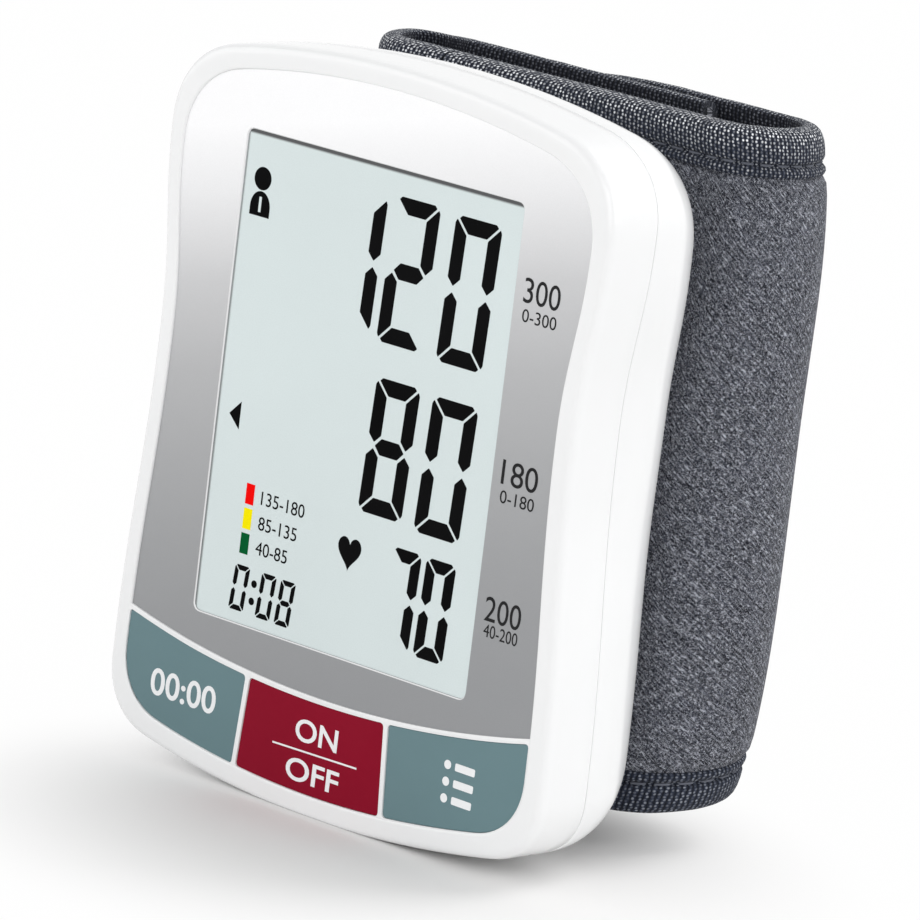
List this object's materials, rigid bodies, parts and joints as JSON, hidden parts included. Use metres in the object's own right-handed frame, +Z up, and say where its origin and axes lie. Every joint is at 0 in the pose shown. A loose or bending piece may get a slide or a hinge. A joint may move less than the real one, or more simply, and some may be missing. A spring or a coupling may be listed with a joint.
{
  "type": "wrist blood pressure monitor",
  "caption": "White waisted wrist monitor with a large display and a row of keys under it, on a flattened grey felt cuff that opens at its back.",
  "frame": {"origin": "middle of the part's box, at its base, which is the flat under the case", "axes": "+Z up the face, +X to the right of a person reading the display, +Y from the face towards the cuff"},
  "size_m": [0.0666, 0.0434, 0.0831],
  "materials": {
    "white": "glossy white moulding",
    "panel": "printed plate, white at the top to grey at the bottom",
    "clear": "clear sheet",
    "display": "pale grey-green liquid crystal glass",
    "grey_key": "satin blue-grey moulding",
    "red_key": "satin dark red moulding",
    "felt": "grey felt with light fibres",
    "tape": "woven edge tape",
    "lining": "smooth dark cloth",
    "frame": "plain pale moulding",
    "rubber": "soft elastomer",
    "board": "green laminate",
    "black": "black moulding",
    "steel": "plated steel",
    "silicone": "milky silicone",
    "cell": "wrapped dry cell",
    "bladder": "thin elastomer",
    "hook": "hook tape"
  },
  "bodies": {
    "case": {"front_case": "white", "rear_case": "white", "face_panel": "panel", "display_window": "clear", "display_glass": "display", "cuff_cover": "felt", "cuff_top_binding": "tape", "cuff_bottom_binding": "tape", "cuff_lining": "lining", "display_frame": "frame", "pressure_sensor": "frame", "air_manifold": "frame", "battery_tray": "frame", "cuff_plate": "frame", "cuff_stiffener": "frame", "contact_strip": "rubber", "main_board": "board", "set_switch": "black", "start_switch": "black", "memory_switch": "black", "main_chip": "black", "buzzer": "black", "pump_head": "black", "exhaust_valve": "black", "pump_motor": "steel", "coil_contact_1": "steel", "coil_contact_2": "steel", "lower_contact_plate": "steel", "upper_contact_plate": "steel", "case_screw_1": "steel", "case_screw_2": "steel", "case_screw_3": "steel", "case_screw_4": "steel", "plate_screw_1": "steel", "plate_screw_2": "steel", "pump_hose": "silicone", "sensor_hose": "silicone", "valve_hose": "silicone", "cuff_hose": "silicone", "bladder_nozzle": "silicone", "cell_1": "cell", "cell_2": "cell", "cuff_bladder": "bladder"},
    "set_key": {"set_button": "grey_key", "set_plunger": "frame"},
    "start_key": {"start_button": "red_key", "start_plunger": "frame"},
    "memory_key": {"memory_button": "grey_key", "memory_plunger": "frame"},
    "cover": {"battery_cover": "white"},
    "strap": {"strap_cover": "felt", "strap_lining": "lining", "strap_top_binding": "tape", "strap_bottom_binding": "tape", "hook_patch": "hook"},
    "crank": {"pump_crank": "steel"},
    "valve_pin": {"valve_plunger": "steel"}
  },
  "joints": [
    {"name": "set_press", "type": "slide", "parent": "case", "child": "set_key", "axis": [0, 1, 0], "range_m": [0, 0.0008], "stiffness_N_per_m": 1500},
    {"name": "start_press", "type": "slide", "parent": "case", "child": "start_key", "axis": [0, 1, 0], "range_m": [0, 0.0008], "stiffness_N_per_m": 1500},
    {"name": "memory_press", "type": "slide", "parent": "case", "child": "memory_key", "axis": [0, 1, 0], "range_m": [0, 0.0008], "stiffness_N_per_m": 1500},
    {"name": "strap_open", "type": "hinge", "parent": "case", "child": "strap", "pos_m": [0.0313, 0.01162, 0.0431], "axis": [0, 0, -1], "range_deg": [0, 115]},
    {"name": "cover_off", "type": "slide", "parent": "case", "child": "cover", "axis": [-1, 0, 0], "range_m": [0, 0.02]},
    {"name": "crank_turn", "type": "hinge", "parent": "case", "child": "crank", "pos_m": [0.0162, -0.00732, 0.0477], "axis": [0, 0, 1], "continuous": true},
    {"name": "valve_lift", "type": "slide", "parent": "case", "child": "valve_pin", "axis": [0, 0, 1], "range_m": [0, 0.0008], "stiffness_N_per_m": 300}
  ]
}
